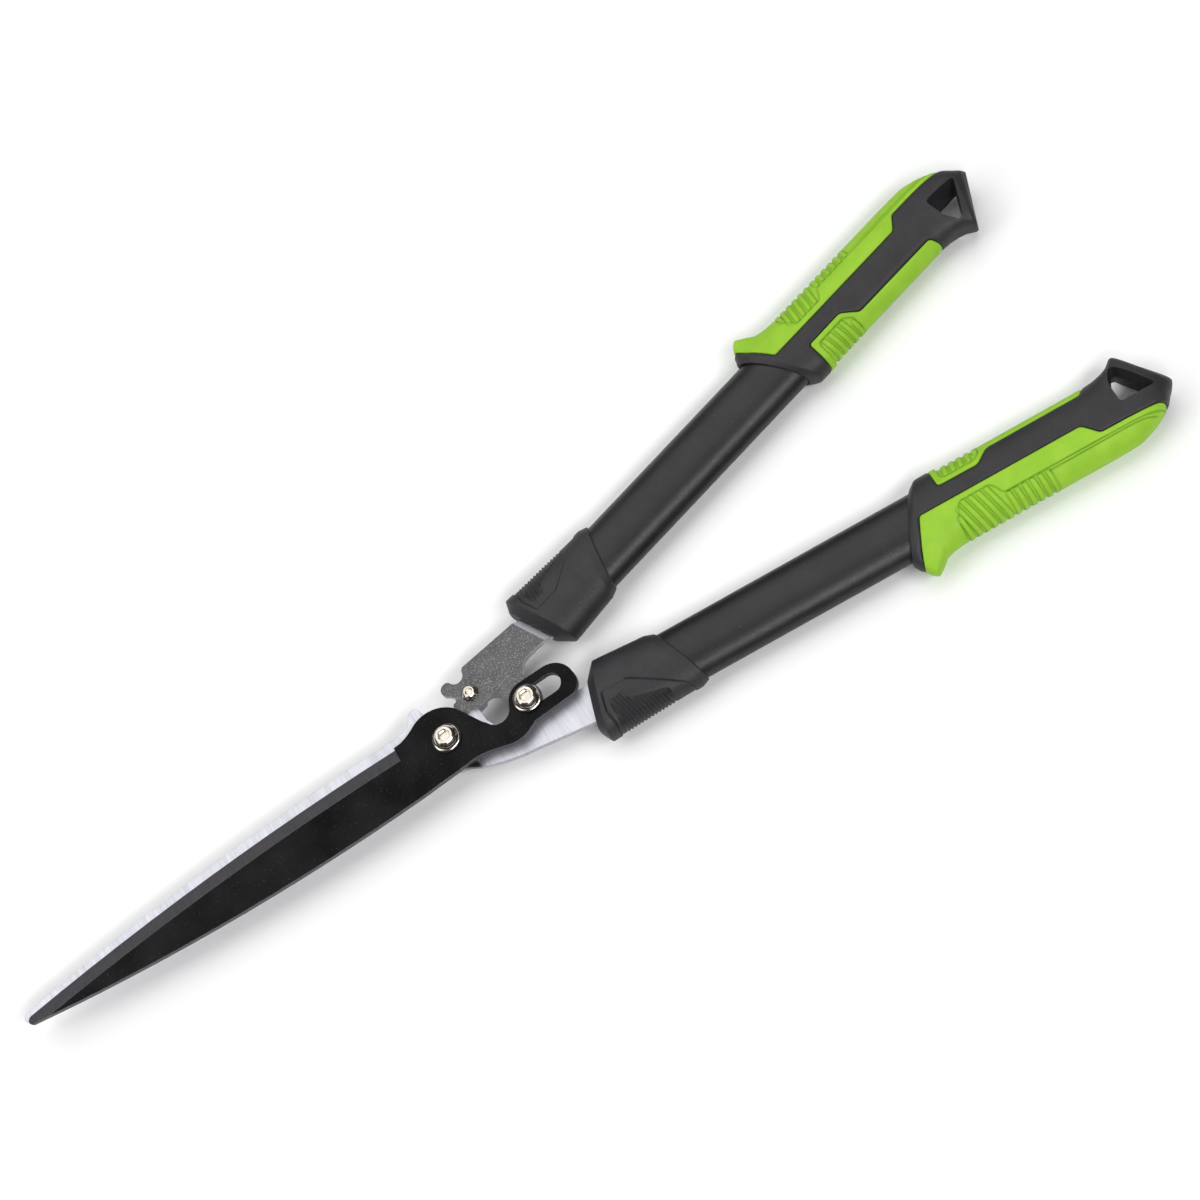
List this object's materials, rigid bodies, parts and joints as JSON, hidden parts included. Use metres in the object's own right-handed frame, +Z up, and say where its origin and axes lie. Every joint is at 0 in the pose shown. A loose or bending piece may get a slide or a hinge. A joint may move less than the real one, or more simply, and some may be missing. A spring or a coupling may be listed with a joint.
{
  "type": "hedge shears",
  "caption": "Long-bladed hedge shears whose upper blade is driven through a lever and slot, with oval tube handles and soft grips.",
  "frame": {"origin": "on the ground under the middle of the closed tool's bounding box, the tool lying flat with its upper blade up", "axes": "+X from the blade tips to the grips, +Y to the right handle, the one on the lever plate, +Z up through the blades"},
  "size_m": [0.6312, 0.1914, 0.0257],
  "materials": {
    "coated_blade": "satin black non-stick coat, ground bevel",
    "bright_blade": "bright, ground across the blade",
    "lever_steel": "grey, bead blasted",
    "bolt_nickel": "bright nickel plate",
    "washer_black": "black oxide",
    "bush_steel": "turned, oiled",
    "tube_paint": "black powder coat",
    "black_plastic": "fine moulded texture",
    "insert_nylon": "natural nylon",
    "rivet_aluminium": "plain",
    "green_rubber": "matte soft grip"
  },
  "bodies": {
    "lower_half": {"lower_blade": "bright_blade", "pivot_bolt": "bolt_nickel", "pivot_washer_top": "washer_black", "pivot_bush": "bush_steel", "pivot_washer_bottom": "bolt_nickel", "pivot_nut": "bolt_nickel", "lever_screw": "bolt_nickel", "lever_bush": "bush_steel", "lever_nut": "bolt_nickel", "left_tube": "tube_paint", "left_collar": "black_plastic", "left_tang_insert": "insert_nylon", "left_tang_rivets": "rivet_aluminium", "left_grip_core": "black_plastic", "left_outer_grip_pad": "green_rubber", "left_inner_grip_pad": "green_rubber"},
    "lever_half": {"lever_plate": "lever_steel", "slot_bolt": "bolt_nickel", "slot_washer": "washer_black", "slot_roller": "bush_steel", "slot_nut": "bolt_nickel", "right_tube": "tube_paint", "right_collar": "black_plastic", "right_tang_insert": "insert_nylon", "right_tang_rivets": "rivet_aluminium", "right_grip_core": "black_plastic", "right_outer_grip_pad": "green_rubber", "right_inner_grip_pad": "green_rubber"},
    "upper_blade": {"upper_blade": "coated_blade"}
  },
  "joints": [
    {"name": "handle_pivot", "type": "hinge", "parent": "lower_half", "child": "lever_half", "pos_m": [-0.04401, 0.0178, 0.0171], "axis": [0, 0, 1], "range_deg": [0, 70]},
    {"name": "blade_pivot", "type": "hinge", "parent": "lower_half", "child": "upper_blade", "pos_m": [-0.06621, 0.0045, 0.0171], "axis": [0, 0, 1], "range_deg": [0, 37.2]}
  ],
  "couplings": [
    {"joint": "blade_pivot", "follows": "handle_pivot", "ratio": 0.53}
  ]
}
